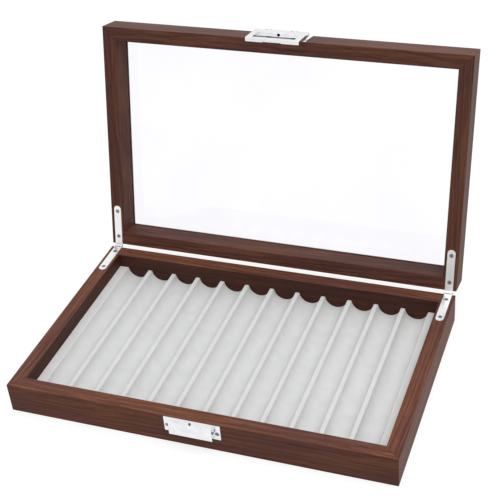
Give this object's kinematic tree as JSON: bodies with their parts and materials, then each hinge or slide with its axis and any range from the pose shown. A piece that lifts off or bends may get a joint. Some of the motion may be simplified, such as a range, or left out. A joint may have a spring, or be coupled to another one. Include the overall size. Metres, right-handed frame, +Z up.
{
  "type": "glass-lidded pen display box",
  "caption": "Shallow wooden display box with a grooved flocked tray for pens, a glazed hinged lid standing open, strip hinges and a snap hasp on the front.",
  "frame": {"origin": "centre of the case's flat underside", "axes": "+X to the right along the front, +Y towards the hinges, +Z up; the lid stands open at its stop"},
  "size_m": [0.33, 0.2871, 0.24],
  "materials": {
    "walnut": "satin lacquered dark walnut veneer",
    "board": "dark stained board",
    "flock": "pale grey flocking",
    "glass": "clear polished pane",
    "chrome": "polished plating",
    "steel": "plain bright steel"
  },
  "bodies": {
    "base": {"base_front_rail": "walnut", "base_right_rail": "walnut", "base_back_rail": "walnut", "base_left_rail": "walnut", "bottom_panel": "board", "pen_tray": "flock", "hinge_pins": "steel", "hinge_base_screws": "steel", "hinge_base_leaf_left": "chrome", "hinge_base_leaf_right": "chrome", "latch_housing": "chrome", "latch_base_screws": "steel", "latch_plug": "steel", "latch_spring": "steel"},
    "lid": {"lid_front_rail": "walnut", "lid_right_rail": "walnut", "lid_back_rail": "walnut", "lid_left_rail": "walnut", "lid_glass": "glass", "hinge_lid_screws": "steel", "hinge_lid_leaf_left": "chrome", "hinge_lid_leaf_right": "chrome", "latch_lid_plate": "chrome", "latch_lid_screws": "steel", "hasp_pin": "steel"},
    "hasp": {"latch_hasp": "chrome"},
    "catch": {"latch_catch": "steel"}
  },
  "joints": [
    {"name": "lid_hinge", "type": "hinge", "parent": "base", "child": "lid", "pos_m": [0, 0.10505, 0.0284], "axis": [1, 0, 0], "range_deg": [0, 103]},
    {"name": "hasp_pivot", "type": "hinge", "parent": "lid", "child": "hasp", "pos_m": [0, 0.16162, 0.23431], "axis": [-1, 0, 0], "range_deg": [0, 165]},
    {"name": "catch_slide", "type": "slide", "parent": "base", "child": "catch", "axis": [0, 0, -1], "range_m": [0, 0.0012], "stiffness_N_per_m": 200, "springref_m": -0.002, "deforming": ["latch_spring"]}
  ]
}
